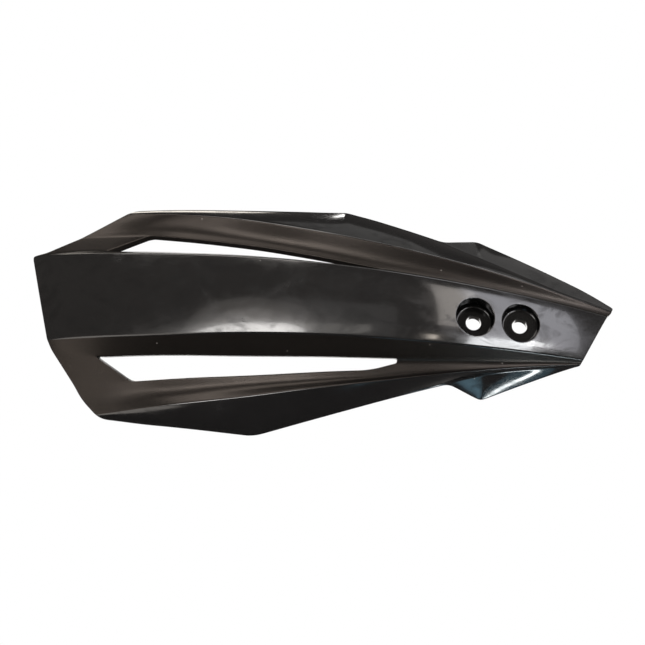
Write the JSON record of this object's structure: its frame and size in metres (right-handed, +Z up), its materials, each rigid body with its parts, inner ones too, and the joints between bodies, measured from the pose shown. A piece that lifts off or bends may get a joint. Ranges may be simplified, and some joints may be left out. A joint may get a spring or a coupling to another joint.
{
  "type": "motorcycle hand guard",
  "caption": "One-piece moulded plastic hand guard shell for a motorcycle handlebar, curved round the hand, with vents and counterbored bolt holes in a boss at its inboard end.",
  "frame": {"origin": "midway between the two bolt holes, on the flat back face of their bosses", "axes": "+X along the line of the holes towards the inboard end, +Y back towards the hand and the bracket, +Z up"},
  "size_m": [0.2618, 0.0504, 0.103],
  "materials": {
    "black_plastic": "gloss on the band, flanges and tabs, fine matte grain on the wings and steps"
  },
  "bodies": {
    "root": {"guard_shell": "black_plastic"}
  },
  "joints": []
}
